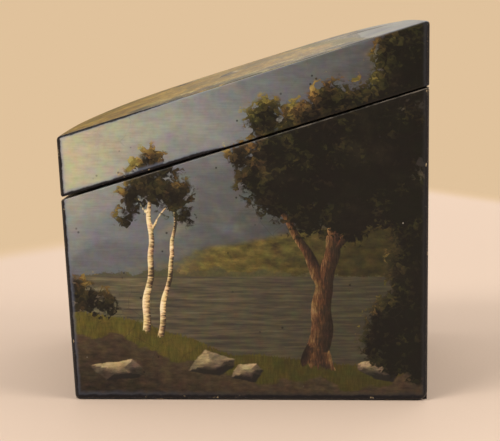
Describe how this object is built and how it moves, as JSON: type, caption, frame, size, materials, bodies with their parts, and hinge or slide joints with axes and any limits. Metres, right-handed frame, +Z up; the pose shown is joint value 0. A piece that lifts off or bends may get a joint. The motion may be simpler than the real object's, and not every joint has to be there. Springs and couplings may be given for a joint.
{
  "type": "antique tea caddy",
  "caption": "Wedge-shaped painted wooden tea caddy: sloping crowned lid on brass hinges, box lock, lined compartments under loose inner lids.",
  "frame": {"origin": "middle of the resting face under the box", "axes": "+X from the front with its lock to the hinged back, +Y to the left end as seen from the front, +Z up"},
  "size_m": [0.139, 0.19, 0.1398],
  "materials": {
    "painted_body": "painted landscape under satin varnish, black lacquered edges",
    "painted_lid": "painted landscape under glossy varnish, black lacquered edges",
    "black_lining": "worn black lacquer",
    "lid_paper": "thin board covered in dull red paper",
    "bare_pine": "bare, darkened with age",
    "tea_pewter": "dull grey sheet metal",
    "polished_inner_lid": "polished dark wood",
    "turned_knob": "turned and polished",
    "aged_brass": "tarnished, bright at the edges",
    "brass_fixings": "dull, with worn slots",
    "lock_brass": "rolled sheet, dull",
    "lock_steel": "filed, dark with age"
  },
  "bodies": {
    "box": {"back_board": "painted_body", "back_lining": "black_lining", "base_board": "bare_pine", "escutcheon": "aged_brass", "escutcheon_pins": "brass_fixings", "front_board": "painted_body", "front_lining": "black_lining", "hinge_body_screws": "brass_fixings", "inner_lid_ledges": "black_lining", "left_end_board": "painted_body", "left_hinge_body_leaf": "aged_brass", "left_hinge_pin": "lock_steel", "left_lining": "black_lining", "left_tea_liner": "tea_pewter", "lock_cap": "lock_brass", "lock_case": "lock_brass", "lock_drill_pin": "lock_steel", "lock_screws": "brass_fixings", "lock_selvedge": "aged_brass", "lock_ward": "lock_steel", "partition": "black_lining", "right_end_board": "painted_body", "right_hinge_body_leaf": "aged_brass", "right_hinge_pin": "lock_steel", "right_lining": "black_lining", "right_tea_liner": "tea_pewter"},
    "lid": {"left_hinge_lid_leaf": "aged_brass", "lid_back_lining": "black_lining", "lid_back_rail": "painted_lid", "lid_ceiling": "lid_paper", "lid_front_lining": "black_lining", "lid_front_rail": "painted_lid", "lid_left_lining": "black_lining", "lid_left_rail": "painted_lid", "lid_right_lining": "black_lining", "lid_right_rail": "painted_lid", "lid_top_panel": "painted_lid", "right_hinge_lid_leaf": "aged_brass", "hinge_lid_screws": "brass_fixings", "lock_link_plate": "aged_brass", "link_plate_screws": "brass_fixings"},
    "bolt": {"lock_bolt": "lock_steel", "bolt_spring": "lock_steel"},
    "left_cover": {"left_inner_lid": "polished_inner_lid", "left_inner_lid_knob": "turned_knob"},
    "right_cover": {"right_inner_lid": "polished_inner_lid", "right_inner_lid_knob": "turned_knob"}
  },
  "joints": [
    {"name": "lid_hinge", "type": "hinge", "parent": "box", "child": "lid", "pos_m": [0.0656, 0, 0.11604], "axis": [0, 1, 0], "range_deg": [0, 111.5]},
    {"name": "bolt_slide", "type": "slide", "parent": "box", "child": "bolt", "axis": [0, -1, 0], "range_m": [0, 0.003]},
    {"name": "left_cover_lift", "type": "slide", "parent": "box", "child": "left_cover", "axis": [0, 0, 1], "range_m": [0, 0.01]},
    {"name": "right_cover_lift", "type": "slide", "parent": "box", "child": "right_cover", "axis": [0, 0, 1], "range_m": [0, 0.01]}
  ]
}
